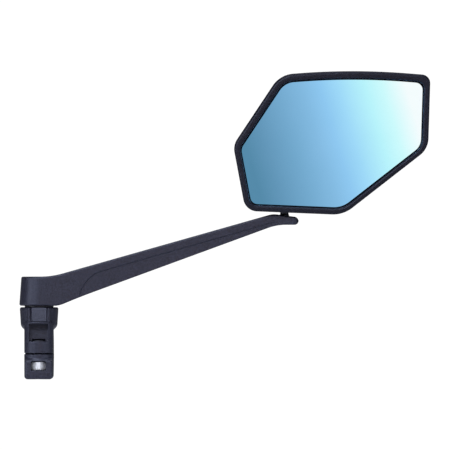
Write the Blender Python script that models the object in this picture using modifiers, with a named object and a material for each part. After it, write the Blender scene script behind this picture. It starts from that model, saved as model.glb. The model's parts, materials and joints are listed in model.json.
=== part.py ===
"""Handlebar mirror for a bicycle: hinged bar clamp, swinging arm, ball joint and six-sided mirror head.

Frame: X runs along the handlebar, Y points away from the rider, Z is up.
The origin is the centre of the handlebar bore. Every length is in metres.
"""

from math import cos, pi, radians, sin, sqrt, tan

import bmesh
import bpy
from mathutils import Matrix, Vector

MM = 0.001
FIT = 0.3 * MM                      # gap kept between pieces that touch
FAR = 40 * MM                       # beyond the clamp on every side

# Handlebar clamp
BAR_RADIUS = 11.1 * MM              # 22.2 mm handlebar
LINER_INNER = BAR_RADIUS + 0.05 * MM
LINER_OUTER = 12.1 * MM
BORE_RADIUS = LINER_OUTER + FIT
RING_RADIUS = 17.8 * MM
CLAMP_HALF_WIDTH = 9.95 * MM
SPLIT_HALF_GAP = 0.35 * MM
BOLT_Y = -18.0 * MM
BOSS_RADIUS = 11.0 * MM             # round front of the bolt boss, seen from above
BOSS_CENTRE_Y = -13.2 * MM
BOSS_TOP = 22.2 * MM
FRONT_Y = -24.6 * MM                # flat front of the lower half
PIN_Y = 19.0 * MM                   # hinge pin behind the bar
PIN_RADIUS = 1.5 * MM
KNUCKLE_RADIUS = 4.0 * MM
KNUCKLE_HALF_WIDTH = 3.2 * MM

# M6 fasteners
M6_RADIUS = 3.0 * MM
M6_HOLE = 3.4 * MM
M6_HEX = 10.0 * MM                  # across flats
NUT_HEIGHT = 5.4 * MM
NUT_TOP = -5.7 * MM
SLOT_GAP = 0.5 * MM                 # play above and below the nut in its slot
HEAD_TOP = 9.3 * MM                 # top of the low bolt head
HEAD_HEIGHT = 4.0 * MM
HEAD_RADIUS = 5.0 * MM
WASHER_THICK = 1.2 * MM
BOLT_END = -14.7 * MM

# Swivel block and hub
BLOCK_RADIUS = 13.3 * MM
BLOCK_TOP = 31.75 * MM
BLOCK_BOTTOM = 16.0 * MM
KEY_LEAN = 0.17                     # how far the walls behind the hex key lean back
HUB_RADIUS = 13.6 * MM
HUB_BOTTOM = 32.8 * MM
HUB_TOP = 52.9 * MM
HUB_WEB = (34.3 * MM, 42.0 * MM)    # solid floor of the hub that the pivot bolt clamps
CAP_RADIUS = 10.0 * MM
CAP_THICK = 1.5 * MM

# Arm
SLOPE_X = 28.2 * MM                 # where the heights of the two sloping sides are given
TOP_Z = 58.5 * MM
UNDER_Z = 38.85 * MM
TOP_SLOPE = 0.2833
UNDER_SLOPE = 0.3667
TOE_X = 179.1 * MM
TOE_HALF_WIDTH = 5.0 * MM
TOE_UNDER = 88.6 * MM
PANEL_DEPTH = 0.8 * MM
RAIL_HEIGHT = 6.0 * MM

# Ball joint
BALL = Vector((169.2, 0.0, 106.4)) * MM
BALL_RADIUS = 6.0 * MM
NECK_RADIUS = 2.9 * MM
LINER_SHELL = (6.3 * MM, 7.3 * MM)
SOCKET_RADIUS = LINER_SHELL[1] + FIT
SOCKET_SPREAD = 10.0 * MM           # stadium-shaped boss: half distance between its end centres
SOCKET_END = 9.2 * MM
SCREW_OFFSET = 13.6 * MM
PARTING_Y = 0.15 * MM               # half gap between the two socket halves

# Head: corner x, corner z, corner radius and the rim's width along the edge that follows
HEAD_CORNERS = [
    (166.0, 192.4, 19.0, 6.1),
    (218.0, 196.2, 480.0, 6.1),
    (270.1, 192.0, 6.3, 5.3),
    (268.5, 140.8, 15.5, 4.8),
    (209.8, 95.1, 22.0, 5.6),
    (142.1, 97.9, 10.2, 5.2),
    (133.5, 143.5, 12.8, 6.1),
]
RIM_Y = -14.0 * MM                  # crest of the rim, towards the rider
GLASS_Y = -13.0 * MM                # front of the glass at its middle
GLASS_THICK = 2.0 * MM
PAD_THICK = 0.8 * MM
GLASS_CURVE = 1200.0 * MM           # radius of the convex glass
GLASS_CENTRE = (203.0 * MM, 146.0 * MM)
GLASS_GAP = 0.5 * MM                # dark gap between the rim and the glass
LEDGE_WIDTH = 3.5 * MM
LEDGE_Y = GLASS_Y + GLASS_THICK + PAD_THICK + 2 * FIT

MODEL = "bike_mirror"
CUTTERS = "cutters"

TURNS = {"X": (0.0, pi / 2, 0.0), "Y": (-pi / 2, 0.0, 0.0), "Z": (0.0, 0.0, 0.0)}

FINISHES = {
    "nylon": ((0.032, 0.032, 0.052), 0.55, 0.0),
    "soft_black": ((0.008, 0.009, 0.013), 0.7, 0.0),
    "acetal": ((0.012, 0.012, 0.016), 0.4, 0.0),
    "black_steel": ((0.02, 0.02, 0.024), 0.4, 0.9),
    "steel": ((0.62, 0.62, 0.64), 0.25, 1.0),
    "brass": ((0.72, 0.52, 0.24), 0.3, 1.0),
    "foam": ((0.05, 0.05, 0.055), 0.95, 0.0),
    "blue_mirror": ((0.30, 0.60, 0.78), 0.04, 1.0),
}


# Scene helpers

def clear_scene():
    """Remove every object, then make the two collections."""
    for obj in list(bpy.data.objects):
        bpy.data.objects.remove(obj, do_unlink=True)
    for name in (MODEL, CUTTERS):
        bpy.context.scene.collection.children.link(bpy.data.collections.new(name))


def finish(obj, kind):
    """Give an object its own material."""
    colour, roughness, metallic = FINISHES[kind]
    material = bpy.data.materials.new(obj.name + "_" + kind)
    material.use_nodes = True
    shader = material.node_tree.nodes["Principled BSDF"]
    shader.inputs["Base Color"].default_value = (*colour, 1.0)
    shader.inputs["Roughness"].default_value = roughness
    shader.inputs["Metallic"].default_value = metallic
    obj.data.materials.append(material)
    return obj


def add_object(name, bm, helper=False):
    """Turn a bmesh into an object of the model, or into a helper that only shapes others."""
    bmesh.ops.recalc_face_normals(bm, faces=bm.faces)
    mesh = bpy.data.meshes.new(name)
    bm.to_mesh(mesh)
    bm.free()
    mesh.shade_smooth()
    mesh.set_sharp_from_angle(angle=radians(32))
    obj = bpy.data.objects.new(name, mesh)
    bpy.data.collections[CUTTERS if helper else MODEL].objects.link(obj)
    if helper:
        obj.hide_render = True
        obj.display_type = "WIRE"
    return obj


def combine(obj, other, operation):
    """Add a Boolean modifier."""
    modifier = obj.modifiers.new(other.name, "BOOLEAN")
    modifier.operation = operation
    modifier.solver = "EXACT"
    modifier.object = other


def fuse(obj, *others):
    """Join helpers onto an object."""
    for other in others:
        combine(obj, other, "UNION")


def cut(obj, *others):
    """Cut helpers out of an object."""
    for other in others:
        combine(obj, other, "DIFFERENCE")


def keep(obj, other):
    """Keep only what lies inside a helper."""
    combine(obj, other, "INTERSECT")


def soften(obj, width, segments=2, angle=40):
    """Round the edges that are sharper than an angle."""
    modifier = obj.modifiers.new("edges", "BEVEL")
    modifier.width = width
    modifier.segments = segments
    modifier.limit_method = "ANGLE"
    modifier.angle_limit = radians(angle)
    return obj


# Outlines

def arc(centre, radius, start, end, steps):
    """Points on an arc, with its angles in degrees."""
    angles = [radians(start + (end - start) * i / steps) for i in range(steps + 1)]
    return [(centre[0] + radius * cos(a), centre[1] + radius * sin(a)) for a in angles]


def rounded(corners, steps=5):
    """A closed outline through (u, v, radius) corners, with an arc at each one."""
    points = []
    for i, (u, v, radius) in enumerate(corners):
        here = Vector((u, v))
        back = (Vector(corners[i - 1][:2]) - here).normalized()
        ahead = (Vector(corners[(i + 1) % len(corners)][:2]) - here).normalized()
        if radius == 0.0:
            points.append((here.x, here.y))
            continue
        half = back.angle(ahead) / 2
        centre = here + (back + ahead).normalized() * (radius / sin(half))
        spoke = here + back * (radius / tan(half)) - centre
        sweep = (pi - 2 * half) * (1 if back.cross(ahead) < 0 else -1)
        for k in range(steps + 1):
            point = centre + Matrix.Rotation(sweep * k / steps, 2) @ spoke
            points.append((point.x, point.y))
    return points


def stadium(centre, spread, radius, steps=10):
    """A slot shape: two half circles whose centres lie at +spread and -spread along u."""
    right = arc((centre[0] + spread, centre[1]), radius, -90, 90, steps)
    left = arc((centre[0] - spread, centre[1]), radius, 90, 270, steps)
    return right + left


def hexagon(centre, across_flats, turn=0.0):
    """A hexagon whose first corner points along +u when turn is zero."""
    return arc(centre, across_flats / sqrt(3), turn, turn + 300, 5)


# Solids

def place(u, v, w, axis):
    """A point with (u, v) in the outline's plane and w along the axis of extrusion."""
    return {"X": (w, u, v), "Y": (u, w, v), "Z": (u, v, w)}[axis]


def prism(name, outline, low, high, axis, helper=False):
    """An outline extruded along an axis. In X it lies in (y, z), in Y in (x, z), in Z in (x, y)."""
    bm = bmesh.new()
    base = bm.faces.new([bm.verts.new(place(u, v, low, axis)) for u, v in outline])
    top = bmesh.ops.extrude_face_region(bm, geom=[base])
    moved = [item for item in top["geom"] if isinstance(item, bmesh.types.BMVert)]
    bmesh.ops.translate(bm, verts=moved, vec=place(0, 0, high - low, axis))
    return add_object(name, bm, helper)


def turned(name, profile, centre, axis="Z", steps=32, closed=False, helper=False):
    """A profile of (radius, height) points turned about an axis through centre.

    The profile runs down its outer side. It is closed for a ring, and otherwise ends on the axis.
    """
    bm = bmesh.new()
    verts = [bm.verts.new((r, 0.0, h)) for r, h in profile]
    for a, b in zip(verts, verts[1:] + ([verts[0]] if closed else [])):
        bm.edges.new((a, b))
    obj = add_object(name, bm, helper)
    screw = obj.modifiers.new("turn", "SCREW")
    screw.steps = steps
    screw.render_steps = steps
    screw.use_merge_vertices = True
    screw.merge_threshold = 0.00001
    screw.use_smooth_shade = True
    obj.location = centre
    obj.rotation_euler = TURNS[axis]
    return obj


def rod(name, radius, low, high, centre, axis="Z", steps=32, helper=False):
    """A cylinder between two heights along its axis."""
    bm = bmesh.new()
    bmesh.ops.create_cone(
        bm, cap_ends=True, segments=steps, radius1=radius, radius2=radius, depth=high - low
    )
    bmesh.ops.rotate(bm, verts=bm.verts, matrix=Matrix.Rotation(pi / steps, 3, "Z"))
    bmesh.ops.translate(bm, verts=bm.verts, vec=(0.0, 0.0, (high + low) / 2))
    obj = add_object(name, bm, helper)
    obj.location = centre
    obj.rotation_euler = TURNS[axis]
    return obj


def ring(name, inner, outer, low, high, centre, axis="Z", steps=28, helper=False):
    """A flat ring or sleeve."""
    profile = [(outer, high), (outer, low), (inner, low), (inner, high)]
    return turned(name, profile, centre, axis, steps, True, helper)


def ball(name, radius, centre, steps=24, helper=False):
    """A sphere turned about Z."""
    rows = 12
    profile = [(radius * sin(pi * i / rows), radius * cos(pi * i / rows)) for i in range(rows + 1)]
    profile[0] = (0.0, radius)
    profile[-1] = (0.0, -radius)
    return turned(name, profile, centre, "Z", steps, False, helper)


def loft(name, rings, helper=False):
    """A solid skinned over closed rings of equal length, with a flat face on each end ring."""
    bm = bmesh.new()
    rows = [[bm.verts.new(point) for point in ring_points] for ring_points in rings]
    for low, high in zip(rows, rows[1:]):
        for i in range(len(low)):
            j = (i + 1) % len(low)
            bm.faces.new((low[i], low[j], high[j], high[i]))
    bm.faces.new(rows[0])
    bm.faces.new(rows[-1])
    return add_object(name, bm, helper)


# Handlebar clamp

def hinge_knuckles(obj, name, inner):
    """Give one half its knuckles, and clear the space in which the other half's knuckles turn."""
    centre = (0.0, PIN_Y, 0.0)
    wide = CLAMP_HALF_WIDTH - 0.1 * MM
    narrow = KNUCKLE_HALF_WIDTH
    clear = KNUCKLE_RADIUS + FIT
    if inner:
        for side, low, high in (("left", -FAR, -narrow - FIT), ("right", narrow + FIT, FAR)):
            cut(obj, rod(f"{name}_gap_{side}", clear, low, high, centre, "X", helper=True))
        fuse(obj, rod(name + "_knuckle", KNUCKLE_RADIUS, -narrow, narrow, centre, "X", helper=True))
    else:
        fuse(obj, rod(name + "_knuckles", KNUCKLE_RADIUS, -wide, wide, centre, "X", helper=True))
        cut(obj, rod(name + "_gap", clear, -narrow - FIT, narrow + FIT, centre, "X", helper=True))
    cut(obj, rod(name + "_pin_hole", PIN_RADIUS + FIT, -FAR, FAR, centre, "X", 24, helper=True))


def bore_cutter(name):
    """The hole for the liners and the handlebar."""
    return rod(name, BORE_RADIUS, -FAR, FAR, (0.0, 0.0, 0.0), "X", 64, helper=True)


def swivel_block():
    """Round block above the clamp that carries the hub."""
    r = BLOCK_RADIUS
    profile = [
        (0.0, BLOCK_TOP),
        (r - 1.2 * MM, BLOCK_TOP),
        (r - 0.3 * MM, BLOCK_TOP - 0.4 * MM),
        (r, BLOCK_TOP - 1.3 * MM),
        (r - 0.6 * MM, 20.6 * MM),
        (r - 1.2 * MM, 18.4 * MM),
        (r - 2.6 * MM, 16.6 * MM),
        (r - 4.6 * MM, BLOCK_BOTTOM),
        (0.0, BLOCK_BOTTOM),
    ]
    return turned("swivel_block", profile, (0.0, 0.0, 0.0), steps=56, helper=True)


def tower():
    """Framed front of the block, with the ledge over the key pocket."""
    half = 7.7 * MM
    side = rounded(
        [
            (-2.0 * MM, 20.6 * MM, 0.0),
            (-16.0 * MM, 20.6 * MM, 0.5 * MM),
            (-16.0 * MM, 22.3 * MM, 0.8 * MM),
            (-14.5 * MM, 23.0 * MM, 0.8 * MM),
            (-14.5 * MM, BLOCK_TOP - 0.5 * MM, 0.8 * MM),
            (-2.0 * MM, BLOCK_TOP - 0.5 * MM, 0.0),
        ],
        3,
    )
    return prism("tower", side, -half, half, "X", True)


def key_channel():
    """Recess down the front of the tower, with a floor that leans back."""
    half = 6.2 * MM
    low = 22.3 * MM
    foot = -13.6 * MM
    head = foot + KEY_LEAN * (FAR - low)
    side = [(-FAR, low), (foot, low), (head, FAR), (-FAR, FAR)]
    return prism("key_channel", side, -half, half, "X", True)


def key_pocket():
    """Window in the upper half, with a sloping back wall, through which the bolt head is reached."""
    half = 6.7 * MM
    low, high = 8.5 * MM, 20.6 * MM
    foot = -15.4 * MM
    head = foot + KEY_LEAN * (high - low)
    side = [(-FAR, low), (foot, low), (head, high), (-FAR, high)]
    return prism("key_pocket", side, -half, half, "X", True)


def round_front(edge, front):
    """Plan in (x, y) of a clamp half whose front is the round bolt boss."""
    lean = 26
    curve = arc((0.0, BOSS_CENTRE_Y), front, 180 + lean, 360 - lean, 18)
    start = curve[0][1]
    return [(edge, 30 * MM), (-edge, 30 * MM), (-edge, start)] + curve + [(edge, start)]


def upper_bolt_hole():
    """Stepped cutter for the bolt, its washer and its head."""
    seat = HEAD_TOP - HEAD_HEIGHT - 2 * FIT - WASHER_THICK
    well = HEAD_RADIUS + FIT
    top = 10.4 * MM
    low = -5 * MM
    profile = [(0.0, top), (well, top), (well, seat), (M6_HOLE, seat), (M6_HOLE, low), (0.0, low)]
    return turned("bolt_hole", profile, (0.0, BOLT_Y, 0.0), helper=True)


def clamp_upper():
    """Upper half of the clamp: ring, bolt boss and swivel block in one moulding."""
    edge = CLAMP_HALF_WIDTH
    crown = arc((0.0, 0.0), RING_RADIUS, 2, 96, 18)
    side = [(RING_RADIUS, SPLIT_HALF_GAP)] + crown
    side += [(-3 * MM, BOSS_TOP), (-30 * MM, BOSS_TOP), (-30 * MM, SPLIT_HALF_GAP)]
    obj = prism("clamp_upper", side, -15 * MM, 15 * MM, "X")
    shoulders = rounded(
        [
            (-edge, -5 * MM, 0.0),
            (edge, -5 * MM, 0.0),
            (edge, BOSS_TOP + 0.1 * MM, 4.0 * MM),
            (-edge, BOSS_TOP + 0.1 * MM, 4.0 * MM),
        ]
    )
    keep(obj, prism("shoulders", shoulders, -FAR, FAR, "Y", True))
    keep(obj, prism("upper_plan", round_front(edge + MM, BOSS_RADIUS), -10 * MM, 30 * MM, "Z", True))
    soften(obj, 0.35 * MM, 2, 50)
    fuse(obj, swivel_block(), tower())
    hinge_knuckles(obj, "upper", True)
    pivot = (0.0, 0.0, 0.0)
    cut(
        obj,
        bore_cutter("upper_bore"),
        key_channel(),
        key_pocket(),
        upper_bolt_hole(),
        rod("pivot_hole", M6_RADIUS + FIT, 5 * MM, FAR, pivot, steps=32, helper=True),
        prism("pivot_head_pocket", hexagon((0.0, 0.0), M6_HEX + 2 * FIT), 5 * MM, 18.2 * MM, "Z", True),
    )
    return finish(obj, "nylon")


def lower_boss():
    """Round top of the lower half's bolt boss, in line with the upper one."""
    edge = CLAMP_HALF_WIDTH - 0.05 * MM
    top = -SPLIT_HALF_GAP - 0.05 * MM
    obj = prism("lower_boss", round_front(edge, BOSS_RADIUS - 0.1 * MM), -12 * MM, top, "Z", True)
    end = -12.9 * MM
    back = [(end, -FAR), (end, FAR), (FAR, FAR), (FAR, -FAR)]
    cut(obj, prism("boss_end", back, -FAR, FAR, "X", True))
    return obj


def clamp_lower():
    """Lower half of the clamp: ring and flat-fronted nut housing, which slopes back to the boss."""
    edge = CLAMP_HALF_WIDTH
    bottom = -RING_RADIUS
    keel = arc((0.0, 0.0), RING_RADIUS, 272, 358, 16)
    side = rounded(
        [
            (RING_RADIUS, -SPLIT_HALF_GAP, 0.0),
            (-14.0 * MM, -SPLIT_HALF_GAP, 0.0),
            (-14.0 * MM, -2.4 * MM, 0.0),
            (-19.0 * MM, -2.4 * MM, 0.0),
            (FRONT_Y, -4.9 * MM, 0.8 * MM),
            (FRONT_Y, bottom, 2.5 * MM),
            (0.0, bottom, 0.0),
        ]
        + [(y, z, 0.0) for y, z in keel],
        4,
    )
    obj = prism("clamp_lower", side, -15 * MM, 15 * MM, "X")
    outline = rounded(
        [
            (-edge, bottom - 0.05 * MM, 2.5 * MM),
            (edge, bottom - 0.05 * MM, 2.5 * MM),
            (edge, 5 * MM, 0.0),
            (-edge, 5 * MM, 0.0),
        ]
    )
    keep(obj, prism("lower_outline", outline, -FAR, FAR, "Y", True))
    plan = rounded(
        [
            (-edge - 0.5 * MM, 30 * MM, 0.0),
            (-edge - 0.5 * MM, FRONT_Y - 0.05 * MM, 2.6 * MM),
            (edge + 0.5 * MM, FRONT_Y - 0.05 * MM, 2.6 * MM),
            (edge + 0.5 * MM, 30 * MM, 0.0),
        ]
    )
    keep(obj, prism("lower_plan", plan, -FAR, FAR, "Z", True))
    fuse(obj, lower_boss())
    hinge_knuckles(obj, "lower", False)
    slot_half = M6_HEX / 2 + FIT
    nut_back = BOLT_Y + M6_HEX / sqrt(3) + FIT
    slot = [(-slot_half, -FAR), (slot_half, -FAR), (slot_half, nut_back), (-slot_half, nut_back)]
    hole = [(x, y) for y, x in stadium((BOLT_Y - 0.5 * MM, 0.0), 0.5 * MM, M6_HOLE + 0.1 * MM)]
    cut(
        obj,
        bore_cutter("lower_bore"),
        prism("nut_slot", slot, NUT_TOP - NUT_HEIGHT - SLOT_GAP, NUT_TOP + SLOT_GAP, "Z", True),
        prism("lower_bolt_hole", hole, -16 * MM, 5 * MM, "Z", True),
    )
    return finish(obj, "nylon")


def liner(name, side):
    """Half of the soft sleeve between the clamp and the bar."""
    lean = 3
    outer = arc((0.0, 0.0), LINER_OUTER, lean, 180 - lean, 26)
    inner = arc((0.0, 0.0), LINER_INNER, 180 - lean, lean, 26)
    outline = [(y, side * z) for y, z in outer + inner]
    return finish(prism(name, outline, -CLAMP_HALF_WIDTH, CLAMP_HALF_WIDTH, "X"), "soft_black")


def hinge_pin():
    """Steel pin through the knuckles."""
    half = CLAMP_HALF_WIDTH - 0.4 * MM
    obj = rod("hinge_pin", PIN_RADIUS, -half, half, (0.0, PIN_Y, 0.0), "X", 24)
    return finish(soften(obj, 0.3 * MM, 1), "steel")


def hex_socket(name, across_flats, low, high, centre):
    """Cutter for the hex socket of a screw."""
    return prism(name, hexagon((centre[0], centre[1]), across_flats), low, high, "Z", True)


def clamp_bolt():
    """Low-headed M6 socket screw that closes the clamp."""
    low = HEAD_TOP - HEAD_HEIGHT
    profile = [
        (0.0, HEAD_TOP),
        (HEAD_RADIUS - 0.5 * MM, HEAD_TOP),
        (HEAD_RADIUS, HEAD_TOP - 0.5 * MM),
        (HEAD_RADIUS, low),
        (M6_RADIUS, low),
        (M6_RADIUS, BOLT_END + 0.7 * MM),
        (M6_RADIUS - 0.7 * MM, BOLT_END),
        (0.0, BOLT_END),
    ]
    obj = turned("clamp_bolt", profile, (0.0, BOLT_Y, 0.0))
    cut(obj, hex_socket("clamp_bolt_socket", 4 * MM, HEAD_TOP - 2.4 * MM, HEAD_TOP + MM, (0.0, BOLT_Y)))
    return finish(obj, "black_steel")


def washer(name, inner, outer, low, high, centre, kind):
    """A flat washer."""
    return finish(ring(name, inner, outer, low, high, centre), kind)


def nut(name, low, high, centre, turn, kind):
    """A hex nut whose corners are taken off top and bottom."""
    obj = prism(name, hexagon(centre, M6_HEX, turn), low, high, "Z")
    corner = M6_HEX / sqrt(3)
    drop = 0.45 * MM
    waist = corner + 0.02 * MM
    crown = [
        (0.0, high),
        (corner - 1.0 * MM, high),
        (waist, high - drop),
        (waist, low + drop),
        (corner - 1.0 * MM, low),
        (0.0, low),
    ]
    keep(obj, turned(name + "_crown", crown, (centre[0], centre[1], 0.0), helper=True))
    middle = (centre[0], centre[1], 0.0)
    cut(obj, rod(name + "_thread", M6_RADIUS + FIT, low - MM, high + MM, middle, steps=32, helper=True))
    return finish(obj, kind)


# Arm

def arm_side():
    """Side view of the arm in (x, z): hub, long taper and toe."""
    brow = 161.2 * MM
    root = 25.4 * MM
    return rounded(
        [
            (-20 * MM, HUB_TOP, 0.0),
            (8.4 * MM, HUB_TOP, 30 * MM),
            (brow, TOP_Z + TOP_SLOPE * (brow - SLOPE_X), 6 * MM),
            (TOE_X - 0.5 * MM, 93.9 * MM, 2.6 * MM),
            (TOE_X, TOE_UNDER, 2.6 * MM),
            (164.2 * MM, TOE_UNDER, 9 * MM),
            (root, UNDER_Z + UNDER_SLOPE * (root - SLOPE_X), 12 * MM),
            (14.0 * MM, HUB_BOTTOM, 14 * MM),
            (-20 * MM, HUB_BOTTOM, 0.0),
        ],
        4,
    )


def arm_half_width(x):
    """Half the arm's width across its straight, tapering sides."""
    reach = TOE_X - TOE_HALF_WIDTH
    lean = (HUB_RADIUS - TOE_HALF_WIDTH) / reach
    return (HUB_RADIUS - lean * x) / sqrt(1 - lean * lean)


def arm_plan():
    """Plan of the arm in (x, y): the tangents that join the hub's circle to the toe's."""
    reach = TOE_X - TOE_HALF_WIDTH
    lean = 90 - 180 / pi * ((HUB_RADIUS - TOE_HALF_WIDTH) / reach)
    around_hub = arc((0.0, 0.0), HUB_RADIUS, lean, 360 - lean, 32)
    return around_hub + arc((reach, 0.0), TOE_HALF_WIDTH, -lean, lean, 10)


def panel_outline():
    """The stepped panel below the arm's upper rail, in (x, z)."""
    start = 27.4 * MM
    top_line = TOP_Z - RAIL_HEIGHT
    brow = 36.0 * MM
    tip = 163.0 * MM
    return rounded(
        [
            (start, 30 * MM, 0.0),
            (start + 0.6 * MM, 42.5 * MM, 12 * MM),
            (brow, top_line + TOP_SLOPE * (brow - SLOPE_X) + 1.2 * MM, 10 * MM),
            (tip, top_line + TOP_SLOPE * (tip - SLOPE_X), 0.0),
            (tip, 30 * MM, 0.0),
        ],
        6,
    )


def panel_cutter(side):
    """Cutter that sinks the panel into one side of the arm by the same depth all along."""
    bm = bmesh.new()
    outline = panel_outline()
    deep = [bm.verts.new((x, side * (arm_half_width(x) - PANEL_DEPTH), z)) for x, z in outline]
    wide = [bm.verts.new((x, side * 30 * MM, z)) for x, z in outline]
    for i in range(len(outline)):
        j = (i + 1) % len(outline)
        bm.faces.new((deep[i], deep[j], wide[j], wide[i]))
    bm.faces.new(deep)
    bm.faces.new(wide)
    return add_object("panel_front" if side < 0 else "panel_back", bm, True)


def arm_beam():
    """Arm, hub and toe in one moulding."""
    obj = prism("arm_beam", arm_side(), -30 * MM, 30 * MM, "Y")
    keep(obj, prism("arm_plan", arm_plan(), 20 * MM, 110 * MM, "Z", True))
    soften(obj, 1.1 * MM, 2, 50)
    hub = (0.0, 0.0, 0.0)
    stud = (BALL.x, BALL.y, 0.0)
    low, high = HUB_WEB
    cap_seat = HUB_TOP - CAP_THICK - 2 * FIT
    cut(
        obj,
        panel_cutter(-1),
        panel_cutter(1),
        rod("hub_bore", 5.2 * MM, 20 * MM, 60 * MM, hub, helper=True),
        rod("hub_recess", CAP_RADIUS + 0.6 * MM, 20 * MM, low, hub, steps=48, helper=True),
        rod("nut_well", 8.6 * MM, high, 60 * MM, hub, steps=48, helper=True),
        rod("cap_seat", CAP_RADIUS + FIT, cap_seat, 60 * MM, hub, steps=48, helper=True),
        rod("foot_bore", 3.6 * MM, 93.0 * MM, 110 * MM, stud, steps=32, helper=True),
        rod("stud_screw_hole", 1.8 * MM, 80 * MM, 100 * MM, stud, steps=24, helper=True),
        rod("stud_screw_well", 3.3 * MM, 80 * MM, 91.2 * MM, stud, steps=32, helper=True),
    )
    return finish(obj, "nylon")


def pivot_bolt():
    """M6 hex bolt that holds the hub on the block; its head is trapped above the bar."""
    head = (13.9 * MM, 17.9 * MM)
    end = 50.5 * MM
    obj = prism("pivot_bolt", hexagon((0.0, 0.0), M6_HEX), head[0], head[1], "Z")
    shank = rod("pivot_shank", M6_RADIUS, head[0] + MM, end, (0.0, 0.0, 0.0), helper=True)
    fuse(obj, soften(shank, 0.6 * MM, 1))
    return finish(obj, "steel")


def disc_spring():
    """Coned spring washer that keeps the hub's friction even."""
    low, high = 43.7 * MM, 45.0 * MM
    thick = 0.6 * MM
    profile = [(7.5 * MM, low + thick), (7.5 * MM, low), (3.4 * MM, high - thick), (3.4 * MM, high)]
    return finish(turned("disc_spring", profile, (0.0, 0.0, 0.0), closed=True), "steel")


def hub_cap():
    """Snap-in cap over the pivot nut, dished a little on top."""
    top = HUB_TOP - 0.15 * MM
    low = HUB_TOP - CAP_THICK - FIT
    profile = [
        (0.0, top - 0.4 * MM),
        (CAP_RADIUS - 2.0 * MM, top - 0.35 * MM),
        (CAP_RADIUS - 1.4 * MM, top),
        (CAP_RADIUS - 0.4 * MM, top),
        (CAP_RADIUS, top - 0.4 * MM),
        (CAP_RADIUS, low),
        (0.0, low),
    ]
    return finish(turned("hub_cap", profile, (0.0, 0.0, 0.0), steps=48), "nylon")


def hub_parts():
    """Everything stacked on the pivot bolt."""
    centre = (0.0, 0.0, 0.0)
    low, high = HUB_WEB
    hole = M6_RADIUS + FIT
    finish(ring("hub_bushing", hole, 4.9 * MM, low + FIT, high - FIT, centre), "acetal")
    washer("friction_washer", hole, CAP_RADIUS, BLOCK_TOP + FIT, low - FIT, centre, "acetal")
    washer("hub_washer", hole, 7.6 * MM, high + FIT, high + 1.4 * MM, centre, "steel")
    disc_spring()
    nut("pivot_nut", 45.3 * MM, 50.3 * MM, (0.0, 0.0), 0.0, "steel")
    hub_cap()


# Ball joint

def ball_stud():
    """Ball, neck and foot turned in one, with a blind hole for the screw below."""
    steps = 11
    lowest = 180 - 29
    curve = [radians(lowest * i / steps) for i in range(steps + 1)]
    sphere = [(BALL_RADIUS * sin(a), BALL_RADIUS * cos(a)) for a in curve]
    sphere[0] = (0.0, BALL_RADIUS)
    foot = 93.3 * MM - BALL.z
    profile = sphere + [
        (NECK_RADIUS, -6.0 * MM),
        (NECK_RADIUS, -10.3 * MM),
        (3.3 * MM, -11.0 * MM),
        (3.3 * MM, foot),
        (1.8 * MM, foot),
        (1.8 * MM, foot + 6.5 * MM),
        (0.0, foot + 6.5 * MM),
    ]
    return finish(turned("ball_stud", profile, BALL, steps=28), "black_steel")


def stud_parts():
    """Screw and washer that hold the stud from under the toe."""
    centre = (BALL.x, BALL.y, 0.0)
    washer("stud_washer", 1.8 * MM, 3.0 * MM, 90.4 * MM, 90.9 * MM, centre, "steel")
    head = (88.7 * MM, 90.1 * MM)
    profile = [
        (0.0, 98.4 * MM),
        (1.2 * MM, 98.4 * MM),
        (1.5 * MM, 98.1 * MM),
        (1.5 * MM, head[1]),
        (2.8 * MM, head[1]),
        (2.8 * MM, head[0] + 0.3 * MM),
        (2.5 * MM, head[0]),
        (0.0, head[0]),
    ]
    obj = turned("stud_screw", profile, centre)
    cut(obj, hex_socket("stud_screw_socket", 2 * MM, head[0] - MM, head[0] + 0.8 * MM, (BALL.x, BALL.y)))
    finish(obj, "black_steel")


def socket_liner():
    """Thin nylon shell between the ball and its socket, open below for the neck."""
    inner, outer = LINER_SHELL
    steps = 9
    angles = [radians(128 * i / steps) for i in range(steps + 1)]
    outside = [(outer * sin(a), outer * cos(a)) for a in angles]
    inside = [(inner * sin(a), inner * cos(a)) for a in reversed(angles)]
    outside[0] = (0.0, outer)
    inside[-1] = (0.0, inner)
    return finish(turned("socket_liner", outside + inside, BALL, steps=24), "acetal")


def socket_cutters(name):
    """The ball pocket and the flared mouth in which the neck tilts."""
    near, far = 4.0 * MM, 13.0 * MM
    flare = 0.37
    mouth = [
        (0.0, -near),
        (3.6 * MM + flare * near, -near),
        (3.6 * MM + flare * far, -far),
        (0.0, -far),
    ]
    return [
        ball(name + "_pocket", SOCKET_RADIUS, BALL, helper=True),
        turned(name + "_mouth", mouth, BALL, helper=True),
    ]


def screw_places():
    """The two socket screws: name and x."""
    return [("left", BALL.x - SCREW_OFFSET), ("right", BALL.x + SCREW_OFFSET)]


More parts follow.
